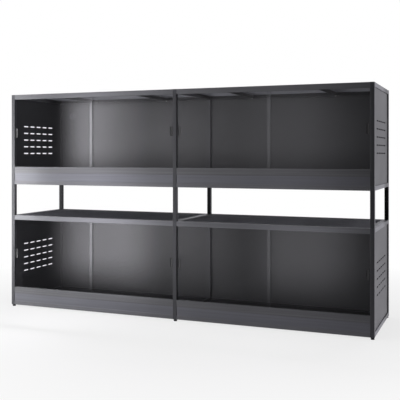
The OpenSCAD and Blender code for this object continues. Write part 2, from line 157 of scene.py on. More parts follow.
class Sketch:
    """The node tree of a material or of the world, while it is drawn up."""

    def __init__(self, owner: bpy.types.Material | bpy.types.World) -> None:
        """Starts with an empty tree.

        Args:
            owner: The new material or world.
        """
        self.owner = owner
        self.owner.use_nodes = True
        self.tree = self.owner.node_tree
        self.tree.nodes.clear()

    def node(self, kind: str, values: dict | None = None, **settings: str) -> Node:
        """Adds a node.

        Args:
            kind: The node's type.
            values: Numbers, colours or links by socket name or index.
            settings: Properties, which are set first.

        Returns:
            The new node.
        """
        node = self.tree.nodes.new(kind)
        for key, value in settings.items():
            setattr(node, key, value)
        for key, value in (values or {}).items():
            source = value.socket if isinstance(value, Field) else value
            if isinstance(source, Socket):
                self.tree.links.new(source, node.inputs[key])
            else:
                node.inputs[key].default_value = source
        return node

    def field(self, node: Node, output: str | int = 0) -> Field:
        """Reads a node's output as an expression."""
        return Field(self, node.outputs[output])

    def ramp(self, value: Field, source: Span, target: Span = (0.0, 1.0), ease: str = "LINEAR") -> Field:
        """Carries a number over from one range to another, and not past its ends.

        Args:
            value: The number.
            source: The range that it comes from.
            target: The range of the result.
            ease: How the result goes from one end to the other.

        Returns:
            The result.
        """
        ends = {"From Min": source[0], "From Max": source[1], "To Min": target[0], "To Max": target[1]}
        node = self.node("ShaderNodeMapRange", {"Value": value, **ends}, interpolation_type=ease)
        return self.field(node, "Result")

    def smooth(self, value: Field, span: Span) -> Field:
        """Gives 0 before a span, 1 after it and an eased step between."""
        return self.ramp(value, span, ease="SMOOTHSTEP")

    def noise(self, cells: Triple | float, detail: float = 2.0, rough: float = 0.5) -> Field:
        """Gives a cloudy field.

        Args:
            cells: How many cells a metre holds, along each axis or along all of them.
            detail: How many finer layers are added.
            rough: How strong those layers are.

        Returns:
            The noise, about 0.5 on average.
        """
        scale = (cells, cells, cells) if isinstance(cells, float) else cells
        where = self.node("ShaderNodeTexCoord").outputs["Object"]
        place = self.node("ShaderNodeMapping", {"Vector": where, "Scale": scale}).outputs["Vector"]
        values = {"Vector": place, "Scale": 1.0, "Detail": detail, "Roughness": rough}
        return self.field(self.node("ShaderNodeTexNoise", values), "Fac")

    def axis(self, name: str) -> Field:
        """Gives one of the object coordinates, in metres."""
        where = self.node("ShaderNodeTexCoord").outputs["Object"]
        return self.field(self.node("ShaderNodeSeparateXYZ", {0: where}), name)

    def tone(self, value: Field, blue: float) -> Socket:
        """Gives a grey of a changing lightness, with a share of blue."""
        values = {0: value, 1: value * (1.0 + blue * GREEN_OF_BLUE), 2: value * (1.0 + blue)}
        return self.node("ShaderNodeCombineColor", values).outputs[0]

    def mix(self, factor: Field, low: Colour, high: Colour) -> Socket:
        """Blends two colours, from low at 0 to high at 1."""
        return self.node("ShaderNodeMix", {0: factor, 6: low, 7: high}, data_type="RGBA").outputs[2]

    def blend(self, factor: Field, low: Field | float, high: Field | float) -> Field:
        """Blends two numbers, from low at 0 to high at 1."""
        return self.field(self.node("ShaderNodeMix", {0: factor, 2: low, 3: high}, data_type="FLOAT"))

    def bump(self, height: Field, depth: float) -> Socket:
        """Turns a height from 0 to 1, and its real depth in metres, into a normal."""
        return self.node("ShaderNodeBump", {"Distance": depth, "Height": height}).outputs["Normal"]

    def surface(self, values: dict) -> Node:
        """Adds the main shader."""
        return self.node("ShaderNodeBsdfPrincipled", values)

    def layer(self, factor: Field, under: Node, over: Node) -> Node:
        """Blends two shaders, from the one under at 0 to the one over at 1."""
        shaders = {1: under.outputs[0], 2: over.outputs[0]}
        return self.node("ShaderNodeMixShader", {0: factor, **shaders})

    def done(self, shader: Node, output: str = "Material") -> bpy.types.Material | bpy.types.World:
        """Sends the last shader to the output and gives what the tree belongs to."""
        self.node(f"ShaderNodeOutput{output}", {"Surface": shader.outputs[0]})
        return self.owner


class Grain(Enum):
    """Direction of a tube's die lines, as pattern cells a metre along each axis."""

    ALONG_X = (3.0, 700.0, 700.0)
    ALONG_Y = (700.0, 3.0, 700.0)
    ALONG_Z = (700.0, 700.0, 3.0)


def grey(value: float, blue: float = 0.0) -> Colour:
    """Gives a grey, with a share of blue where asked."""
    return (value, value * (1.0 + blue * GREEN_OF_BLUE), value * (1.0 + blue), 1.0)


# ---- Finishes ----
# What is taken off a roughness is about half of what the noise adds, so its average stays.
# A relief is the depth of the bumps in metres.


@dataclass(frozen=True)
class Finish(ABC):
    """A finish with a name, which is drawn up as a material."""

    name: str

    @abstractmethod
    def draw(self, art: Sketch) -> Node:
        """Draws the finish and gives its last shader."""

    def build(self) -> bpy.types.Material:
        """Makes the material."""
        art = Sketch(bpy.data.materials.new(self.name))
        return art.done(self.draw(art))


@dataclass(frozen=True)
class AnodisedFinish(Finish):
    """Satin black anodised extrusion with die lines along its length, and painted shade that darkens it
    towards the rear.
    """

    grain: Grain
    dark: float = 0.170
    light: float = 0.225
    blue: float = 0.07
    roughness: float = 0.44
    metallic: float = 0.85
    # Painted shade: the tone goes down towards the rear, to a share of itself, over a span of Y.
    rear_shaded_share: float = 0.22  # what is left of the tone at the rear
    rear_shade_y: Span = (0.0, 0.2)  # where the tone goes down, in metres
    streak_share: float = 0.4  # cells of the streaks for each cell of the lines
    streak_most: float = 140.0  # the most of them in a metre
    relief: float = 0.00006

    def draw(self, art: Sketch) -> Node:
        """Draws die lines, broad streaks, clouds, specks, rubbed places and painted shade towards the
        rear.

        Args:
            art: The tree that is drawn.

        Returns:
            The shader.
        """
        cells = self.grain.value
        lines = art.noise(cells, 3.0, 0.6)
        broad = tuple(min(count * self.streak_share, self.streak_most) for count in cells)
        streaks = art.noise(broad, 3.0, 0.6)
        cloud = art.noise(5.0, 3.0)
        speck = art.noise(1600.0, 1.0)
        rubbed = art.noise(26.0, 4.0, 0.65).above(0.66, 0.12)
        # Painted shade, darkening the tone towards the rear.
        rear_painted_shade = 1.0 - art.smooth(art.axis("Y"), self.rear_shade_y) * (1.0 - self.rear_shaded_share)
        mottle = lines * 0.3 + streaks.above(0.34, 0.32) * 0.5 + cloud * 0.2
        value = mottle.clipped() * (self.light - self.dark) + self.dark
        rough = lines * 0.12 + cloud * 0.10 + rubbed * 0.08 + (self.roughness - 0.11)
        return art.surface(
            {
                "Base Color": art.tone(value * rear_painted_shade, self.blue),
                "Metallic": self.metallic,
                "Roughness": rough,
                "Normal": art.bump(lines * 0.7 + speck * 0.3, self.relief),
            }
        )


@dataclass(frozen=True)
class BoardFinish(Finish):
    """Foamed PVC board with a fine orange-peel skin and a little dust."""

    dark: float
    light: float
    roughness: float
    gloss: float
    blue: float = 0.12
    relief: float = 0.000002

    def draw(self, art: Sketch) -> Node:
        """Draws the skin, clouds and dust.

        Args:
            art: The tree that is drawn.

        Returns:
            The shader.
        """
        peel = art.noise(420.0, 2.0, 0.55)
        cloud = art.noise(3.0, 4.0, 0.6)
        dust = art.noise(60.0, 5.0, 0.7).above(0.60, 0.2)
        mottle = (cloud * 0.7 + peel * 0.3).clipped()
        return art.surface(
            {
                "Base Color": art.mix(mottle, grey(self.dark, self.blue), grey(self.light, self.blue)),
                "Roughness": cloud * 0.14 + dust * 0.10 + (self.roughness - 0.08),
                "Normal": art.bump(peel, self.relief),
                "Specular IOR Level": self.gloss,
            }
        )


@dataclass(frozen=True)
class MouldedFinish(Finish):
    """Moulded plastic, rubber or powder coat with a fine grain."""

    base: float
    roughness: float
    grain: float = 1300.0
    relief: float = 0.00008
    metallic: float = 0.0
    gloss: float = 0.5
    blue: float = 0.10

    def draw(self, art: Sketch) -> Node:
        """Draws the grain and clouds.

        Args:
            art: The tree that is drawn.

        Returns:
            The shader.
        """
        grain = art.noise(self.grain, 2.0, 0.6)
        cloud = art.noise(30.0, 3.0)
        dark, light = grey(self.base * 0.85, self.blue), grey(self.base * 1.2, self.blue)
        return art.surface(
            {
                "Base Color": art.mix(cloud, dark, light),
                "Metallic": self.metallic,
                "Roughness": grain * 0.12 + cloud * 0.08 + (self.roughness - 0.10),
                "Normal": art.bump(grain, self.relief),
                "Specular IOR Level": self.gloss,
            }
        )


@dataclass(frozen=True)
class BrightMetalFinish(Finish):
    """Bare, plated or clear-anodised metal, brushed along one direction."""

    base: float
    roughness: float
    brush: Triple = (1400.0, 1400.0, 60.0)
    metallic: float = 1.0
    relief: float = 0.00004

    def draw(self, art: Sketch) -> Node:
        """Draws the brush lines and clouds.

        Args:
            art: The tree that is drawn.

        Returns:
            The shader.
        """
        lines = art.noise(self.brush, 2.0, 0.6)
        cloud = art.noise(50.0, 2.0)
        mottle = (lines * 0.6 + cloud * 0.4).clipped()
        return art.surface(
            {
                "Base Color": art.mix(mottle, grey(self.base * 0.85), grey(self.base * 1.1)),
                "Metallic": self.metallic,
                "Roughness": lines * 0.14 + (self.roughness - 0.07),
                "Normal": art.bump(lines, self.relief),
            }
        )


@dataclass(frozen=True)
class GlassFinish(Finish):
    """Clear float glass with faint smears, which lets lamps through."""

    tint: Colour = (0.970, 0.970, 0.974, 1.0)
    film: Colour = (0.55, 0.55, 0.58, 1.0)
    dust: float = 0.004
    smear_rough: float = 0.002
    index: float = 1.5

    def draw(self, art: Sketch) -> Node:
        """Draws the glass under a film of dust, and clear where a lamp shines through.

        Args:
            art: The tree that is drawn.

        Returns:
            The shader.
        """
        cloud = art.noise((5.0, 5.0, 8.0), 3.0, 0.55)
        smear = art.noise((3.0, 3.0, 22.0), 4.0, 0.6).above(0.58, 0.25)
        glass = art.surface(
            {
                "Base Color": self.tint,
                "Roughness": smear * self.smear_rough,
                "IOR": self.index,
                "Transmission Weight": 1.0,
            }
        )
        dull = cloud * 0.2 + 0.7
        film = art.surface({"Base Color": self.film, "Roughness": dull, "Specular IOR Level": 0.1})
        dusty = art.layer((cloud + smear) * self.dust, glass, film)
        clear = art.node("ShaderNodeBsdfTransparent", {"Color": self.tint})
        lamp_ray = art.field(art.node("ShaderNodeLightPath"), "Is Shadow Ray")
        return art.layer(lamp_ray, dusty, clear)


@dataclass(frozen=True)
class GroundEdgeFinish(Finish):
    """Ground and polished edge of a pane, green where it is seen lengthwise."""

    deep: Colour = (0.020, 0.027, 0.026, 1.0)
    pale: Colour = (0.050, 0.062, 0.060, 1.0)

    def draw(self, art: Sketch) -> Node:
        """Draws the grinding.

        Args:
            art: The tree that is drawn.

        Returns:
            The shader.
        """
        grind = art.noise(300.0, 3.0)
        colour = art.mix(grind, self.deep, self.pale)
        return art.surface({"Base Color": colour, "Roughness": grind * 0.2 + 0.30})


ALONG_X = AnodisedFinish("anodised_along_x", Grain.ALONG_X)
ALONG_Y = AnodisedFinish("anodised_along_y", Grain.ALONG_Y)
# Posts and spacer posts take the rails' anodising in darker tones, as painted shade on the upright
# tubes; the spacers between the levels also get more painted shade towards the rear.
POST_PAINTED_SHADE = AnodisedFinish("anodised_post", Grain.ALONG_Z, dark=0.085, light=0.120, rear_shaded_share=0.7)
SPACER_PAINTED_SHADE = AnodisedFinish("anodised_spacer", Grain.ALONG_Z, dark=0.075, light=0.105, rear_shaded_share=0.15)
SILL = AnodisedFinish("anodised_sill", Grain.ALONG_X, dark=0.138, light=0.225, blue=0.05)
DAM = AnodisedFinish("anodised_plate", Grain.ALONG_X, dark=0.175, light=0.225, blue=0.12)
BACK_BOARD = BoardFinish("back_board", dark=0.022, light=0.032, roughness=0.40, gloss=0.6)
FLOOR_BOARD = BoardFinish("floor_board", dark=0.006, light=0.010, roughness=0.45, gloss=0.15)
END_BOARD = BoardFinish("end_board", dark=0.020, light=0.030, roughness=0.45, gloss=0.5)
JOINT_COAT = MouldedFinish("joint_coat", 0.10, 0.46, metallic=0.8)
PORT_PLASTIC = MouldedFinish("port_plastic", 0.022, 0.30)
# The cap's light grey, well above the ring's dark plastic, is a painted highlight.
CAP_PAINTED_HIGHLIGHT_PLASTIC = MouldedFinish("cap_plastic", 0.10, 0.28)
BRISTLE = MouldedFinish("brush_bristle", 0.012, 0.60, grain=3000.0, relief=0.00002)
RUBBER = MouldedFinish("foot_rubber", 0.018, 0.70, grain=900.0, relief=0.00015)
BAR_COAT = MouldedFinish("bar_powder_coat", 0.008, 0.50, grain=1800.0, relief=0.00006)
SCREEN_COAT = MouldedFinish("screen_powder_coat", 0.028, 0.45, grain=1800.0, relief=0.00005)
# The wires' light grey, against the frame's black coat, is painted light for the light that comes
# through the mesh.
WIRE_COAT_PAINTED_LIGHT = MouldedFinish("wire_coat", 0.300, 0.60, grain=2600.0, relief=0.00002, gloss=0.15)
PULL_METAL = BrightMetalFinish("pull_metal", 0.10, 0.40)
ZINC = BrightMetalFinish("zinc_plate", 0.80, 0.30, brush=(900.0, 900.0, 900.0), metallic=0.6)
CLEAR_GLASS = GlassFinish("clear_glass")
GLASS_EDGE = GroundEdgeFinish("glass_edge")

KEPT_FINISHES = {
    "posts": POST_PAINTED_SHADE,
    "front_top_rails": ALONG_X,
    "rear_top_rails": ALONG_X,
    "front_bottom_rails": ALONG_X,
    "rear_bottom_rails": ALONG_X,
    "sill_rails": SILL,
    "top_cross_rails": ALONG_Y,
    "bottom_cross_rails": ALONG_Y,
    "corner_joints": JOINT_COAT,
    "dam_panels": DAM,
    "back_panel_left": BACK_BOARD,
    "back_panel_right": BACK_BOARD,
    "side_panel_left": END_BOARD,
    "side_panel_right": END_BOARD,
    "floor_panels": FLOOR_BOARD,
    "cross_bars": BAR_COAT,
}


# ---- Bench work with Blender's own tools ----


def deselect() -> None:
    """Leaves nothing selected."""
    bpy.ops.object.select_all(action="DESELECT")


def take(piece: Piece) -> None:
    """Makes a piece the only one selected.

    Args:
        piece: The piece.
    """
    deselect()
    piece.select_set(True)
    bpy.context.view_layer.objects.active = piece


def named(piece: Piece, name: str) -> Piece:
    """Names a piece and its mesh.

    Args:
        piece: The piece.
        name: Their name.

    Returns:
        The piece.
    """
    piece.name = name
    piece.data.name = name
    return piece


def settle(name: str) -> Piece:
    """Names the active piece and puts its place into its mesh.

    Args:
        name: The piece's name.

    Returns:
        The piece.
    """
    piece = named(bpy.context.active_object, name)
    take(piece)
    bpy.ops.object.transform_apply(location=True, rotation=True, scale=True)
    return piece


def block(name: str, low: Vector, high: Vector) -> Piece:
    """Adds a cube at its size and place.

    Args:
        name: The piece's name.
        low: Its lowest corner.
        high: Its highest corner.

    Returns:
        The piece.
    """
    deselect()
    bpy.ops.mesh.primitive_cube_add(size=1.0, location=(low + high) / 2, scale=high - low)
    return settle(name)


def turned(name: str, start: Vector, axis: Vector, radius: float, length: float, sides: int) -> Piece:
    """Adds a round bar.

    Args:
        name: The piece's name.
        start: The middle of its first end.
        axis: The direction in which it runs, one long.
        radius: Its radius.
        length: Its length.
        sides: How many faces go round it.

    Returns:
        The piece.
    """
    deselect()
    centre = start + axis * length / 2
    angles = axis.to_track_quat("Z", "Y").to_euler()
    bpy.ops.mesh.primitive_cylinder_add(
        vertices=sides, radius=radius, depth=length, location=centre, rotation=angles
    )
    return settle(name)


@contextmanager
def editing(piece: Piece) -> Iterator[None]:
    """Opens a piece for edit-mode work, with nothing selected, and closes it again.

    Args:
        piece: The piece to work on.

    Yields:
        Nothing, while edit mode is on.
    """
    take(piece)
    bpy.ops.object.mode_set(mode="EDIT")
    bpy.ops.mesh.select_all(action="DESELECT")
    yield
    bpy.ops.object.mode_set(mode="OBJECT")


def facing(direction: Vector) -> Test:
    """Gives a test that picks the faces that look in a direction."""
    return lambda normal, _: normal.dot(direction) > STRAIGHT


def pick_faces(piece: Piece, wanted: Test) -> None:
    """Selects faces in edit mode.

    Args:
        piece: The piece that is being edited.
        wanted: Says from a face's normal and middle whether it is taken.
    """
    bpy.ops.mesh.select_mode(type="FACE")
    mesh = bmesh.from_edit_mesh(piece.data)
    for face in mesh.faces:
        face.select_set(wanted(face.normal, face.calc_center_median()))
    mesh.select_flush_mode()
    bmesh.update_edit_mesh(piece.data)


def pick_edges(piece: Piece, wanted: Test) -> None:
    """Selects edges in edit mode.

    Args:
        piece: The piece that is being edited.
        wanted: Says from an edge's two ends whether it is taken.
    """
    bpy.ops.mesh.select_mode(type="EDGE")
    mesh = bmesh.from_edit_mesh(piece.data)
    for edge in mesh.edges:
        edge.select_set(wanted(edge.verts[0].co, edge.verts[1].co))
    mesh.select_flush_mode()
    bmesh.update_edit_mesh(piece.data)


def push(step: Vector) -> None:
    """Extrudes the selected faces by a step."""
    bpy.ops.mesh.extrude_region_move(TRANSFORM_OT_translate={"value": step})


def widen(share: float, centre: Vector) -> None:
    """Scales what is selected in edit mode about a centre, but not its height."""
    bpy.ops.transform.resize(value=(share, share, 1.0), center_override=centre)


def round_edges(piece: Piece, width: float, steps: int, angle: float = 40.0) -> None:
    """Rounds a piece's sharp edges with an applied bevel.

    Args:
        piece: The piece.
        width: The bevel's width.
        steps: How many faces it gets.
        angle: The least angle in degrees that counts as an edge.
    """
    take(piece)
    bevel = piece.modifiers.new("round", "BEVEL")
    bevel.width = width
    bevel.segments = steps
    bevel.limit_method = "ANGLE"
    bevel.angle_limit = math.radians(angle)
    bevel.use_clamp_overlap = True
    bpy.ops.object.modifier_apply(modifier=bevel.name)


def repeat(piece: Piece, count: int, step: Vector) -> None:
    """Copies a piece in a row within its own mesh.

    Args:
        piece: The piece.
        count: How many there are in all.
        step: The distance from one to the next.
    """
    take(piece)
    row = piece.modifiers.new("row", "ARRAY")
    row.count = count
    row.use_relative_offset = False
    row.use_constant_offset = True
    row.constant_offset_displace = step
    bpy.ops.object.modifier_apply(modifier=row.name)


def carve(piece: Piece, tool: Piece) -> None:
    """Cuts a tool's shape out of a piece and puts the tool away.

    Args:
        piece: The piece that is cut.
        tool: The shape that is taken out.
    """
    take(piece)
    cut = piece.modifiers.new("cut", "BOOLEAN")
    cut.operation = "DIFFERENCE"
    cut.solver = "EXACT"
    cut.object = tool
    bpy.ops.object.modifier_apply(modifier=cut.name)
    bpy.data.objects.remove(tool)


def join(name: str, pieces: list[Piece]) -> Piece:
    """Joins pieces into one.

    Args:
        name: The joined piece's name.
        pieces: What it is made of.

    Returns:
        The piece.
    """
    take(pieces[0])
    for piece in pieces:
        piece.select_set(True)
    bpy.ops.object.join()
    return named(bpy.context.active_object, name)


def copied(piece: Piece, name: str, step: Vector) -> Piece:
    """Copies a piece with its own mesh to another place.

    Args:
        piece: The piece to copy.
        name: The copy's name.
        step: How far the copy lies from the first.

    Returns:
        The copy.
    """
    twin = piece.copy()
    twin.data = piece.data.copy()
    named(twin, name)
    bpy.context.collection.objects.link(twin)
    take(twin)
    twin.location = step
    bpy.ops.object.transform_apply(location=True, rotation=False, scale=False)
    return twin


def shade(piece: Piece) -> None:
    """Shades a piece smooth, apart from its sharp edges."""
    take(piece)
    bpy.ops.object.shade_smooth_by_angle(angle=math.radians(SMOOTH_DEG))


def coat(piece: Piece, *materials: bpy.types.Material) -> None:
    """Gives a piece its materials.

    Args:
        piece: The piece.
        materials: The materials, in the order of their slots.
    """
    piece.data.materials.clear()
    for material in materials:
        piece.data.materials.append(material)


def middle(box: Box) -> Vector:
    """Gives a box's middle."""
    return (box[0] + box[1]) / 2


def half_width(box: Box) -> float:
    """Gives half of a box's width along X, which is a round piece's radius."""
    return (box[1].x - box[0].x) / 2


def at_height(place: Vector, height: float) -> Vector:
    """Gives a place moved to another height."""
    return Vector((place.x, place.y, height))


def node_box(node: str) -> Box:
    """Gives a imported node's corners."""
    low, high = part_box(node)
    return Vector(low), Vector(high)


def islands(source: Piece) -> list[Box]:
    """Finds the separate solids of a node.

    Args:
        source: The node.

    Returns:
        The corners of each solid, from bottom to top, left to right and front to rear.
    """
    mesh = bmesh.new()
    mesh.from_mesh(source.data)
    bmesh.ops.remove_doubles(mesh, verts=mesh.verts, dist=MERGE)
    left = set(mesh.verts)
    boxes = []
    while left:
        reach = [left.pop()]
        found = []
        while reach:
            vertex = reach.pop()
            found.append(vertex.co.copy())
            for edge in vertex.link_edges:
                other = edge.other_vert(vertex)
                if other in left:
                    left.remove(other)
                    reach.append(other)
        low = Vector([min(co[axis] for co in found) for axis in range(3)])
        high = Vector([max(co[axis] for co in found) for axis in range(3)])
        boxes.append((low, high))
    mesh.free()
    return sorted(boxes, key=lambda box: [round(box[0][axis], 3) for axis in (2, 0, 1)])


def spread(source: Piece, make: Callable[[Box], Piece], single: str, whole: str) -> Piece:
    """Makes one piece, copies it to each solid of a node and joins them all.

    Args:
        source: The node.
        make: Makes the first piece from the corners of its solid.
        single: What the copies are named.
        whole: What the joined piece is named.

    Returns:
        The joined piece.
    """
    boxes = islands(source)
    first = make(boxes[0])
    start = middle(boxes[0])
    copies = [copied(first, f"{single}_{i}", middle(box) - start) for i, box in enumerate(boxes[1:], 1)]
    log.info("built %s from %d pieces", whole, len(boxes))
    return join(whole, [first, *copies])


class Wardrobe:
    """Keeps one material for each finish."""

    def __init__(self) -> None:
        """Starts empty."""
        self.hung: dict[str, bpy.types.Material] = {}

    def __call__(self, finish: Finish) -> bpy.types.Material:
        """Gives a finish's material, made once.

        Args:
            finish: One of the finishes above.

        Returns:
            Its material.
        """
        if finish.name not in self.hung:
            self.hung[finish.name] = finish.build()
        return self.hung[finish.name]


# ---- Sub-assemblies, with sizes in metres ----


@dataclass
class FrameDressing:
    """Finishes of the tubes, blocks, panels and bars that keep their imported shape."""

    wardrobe: Wardrobe
    nodes: dict[str, Piece]

    def dress(self) -> None:
        """Gives every carried-over node its material."""
        finishes = {"spacer_posts": SPACER_PAINTED_SHADE}
        for level in LEVELS:
            finishes |= {f"{level}_{kind}": finish for kind, finish in KEPT_FINISHES.items()}
        for node, finish in finishes.items():
            coat(self.nodes[node], self.wardrobe(finish))
            log.info("dressed %s in %s", node, finish.name)


@dataclass
class ScreenTop:
    """A screen of crossed wires in a flat frame with raised edges."""

    wardrobe: Wardrobe
    level: str
    side: str
    rim: float = 0.020
    rounding: float = 0.0006
    edge_share: float = 0.22  # of the rim, left high along both of its sides
    edge_high: float = 0.0012
    seat_share: float = 0.7  # of the rim, before the wires begin
    wire: float = 0.0004  # radius
    press: float = 0.9  # from the middle to a layer, in wire radii
    pitch: float = 0.004

    @property
    def node(self) -> str:
        """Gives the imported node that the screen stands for."""
        return f"{self.level}_screen_{self.side}"

    def frame(self, box: Box) -> Piece:
        """Makes the flat frame: a plate, stepped in on both faces and joined through.

        Args:
            box: Where the screen lies.

        Returns:
            The frame.
        """
        frame = block(f"{self.node}_frame", *box)
        with editing(frame):
            for direction in (UP, DOWN):
                pick_faces(frame, facing(direction))
                bpy.ops.mesh.inset(thickness=self.rim, depth=0.0)
            centre = middle(box)
            pick_faces(frame, lambda _, at: (at - centre).xy.length < self.rim)
            bpy.ops.mesh.bridge_edge_loops()
            pick_faces(frame, facing(UP))
            bpy.ops.mesh.inset(thickness=self.rim * self.edge_share, depth=-self.edge_high)
        round_edges(frame, self.rounding, 2)
        shade(frame)
        coat(frame, self.wardrobe(SCREEN_COAT))
        return frame

    def weave(self, box: Box) -> Piece:
        """Makes the mesh as two layers of wires, pressed into each other a little.

        Args:
            box: Where the screen lies.

        Returns:
            The mesh.
        """
        inset = Vector((1, 1, 0)) * self.rim * self.seat_share
        start = at_height(box[0] + inset, middle(box).z)
        end = at_height(box[1] - inset, middle(box).z)
        span = end - start
        layers = []
        for index, (along, across, height) in enumerate(((0, 1, -self.press), (1, 0, self.press))):
            run, step = Vector((0, 0, 0)), Vector((0, 0, 0))
            run[along] = 1
            first = start + UP * self.wire * height
            wire = turned(f"{self.node}_wire_{index}", first, run, self.wire, span[along], sides=6)
            count = int(span[across] / self.pitch)
            step[across] = span[across] / count
            repeat(wire, count + 1, step)
            layers.append(wire)
        mesh = join(f"{self.node}_mesh", layers)
        # The wires' light grey is painted light.
        coat(mesh, self.wardrobe(WIRE_COAT_PAINTED_LIGHT))
        return mesh

    def build(self) -> None:
        """Builds the screen in place of its node."""
        box = node_box(self.node)
        frame = self.frame(box)
        mesh = self.weave(box)
        for piece in (frame, mesh):
            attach(piece, CABINET)
        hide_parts(self.node)
        log.info("built %s", self.node)


@dataclass
class SlidingDoor:
    """A glass pane with ground edges and a pull near its outer edge."""

    wardrobe: Wardrobe
    level: str
    number: int
    arris: float = 0.0006
    corner_share: float = 0.36  # this and the next two are of the pull's width
    rim_share: float = 0.13
    slope_share: float = 0.10
    hollow: float = 0.0026  # depth of the pull's face
    rounding: float = 0.0005

    @property
    def body(self) -> str:
        """Gives the body that the pane moves with."""
        return f"{self.level}_door_{self.number}"

    def pane(self) -> Piece:
        """Makes the pane, clear on its faces and ground on its edges.

        Returns:
            The pane.
        """
        pane = block(f"{self.body}_pane", *node_box(self.body))
        round_edges(pane, self.arris, 1)
        coat(pane, self.wardrobe(CLEAR_GLASS), self.wardrobe(GLASS_EDGE))
        for face in pane.data.polygons:
            face.material_index = 0 if abs(face.normal.y) > STRAIGHT else 1
        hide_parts(self.body)
        return pane

    def pull(self) -> Piece:
        """Makes the finger pull: a rounded pad with a raised rim and a hollow face.

        Returns:
            The pull.
        """
        node = f"{self.level}_handle_{self.number}"
        box = node_box(node)
        width = 2 * half_width(box)
        pull = block(f"{node}_pull", *box)
        with editing(pull):
            pick_edges(pull, lambda first, second: abs(first.y - second.y) > SAME)
            bpy.ops.mesh.bevel(offset=width * self.corner_share, segments=6, affect="EDGES")
            pick_faces(pull, facing(FRONT))
            bpy.ops.mesh.inset(thickness=width * self.rim_share)
            bpy.ops.mesh.inset(thickness=width * self.slope_share)
            bpy.ops.transform.translate(value=REAR * self.hollow)
        round_edges(pull, self.rounding, 2, angle=30.0)
        shade(pull)
        coat(pull, self.wardrobe(PULL_METAL))
        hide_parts(node)
        return pull

    def build(self) -> None:
        """Builds the door in place of its two nodes."""
        for piece in (self.pane(), self.pull()):
            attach(piece, self.body)
        log.info("built %s", self.body)


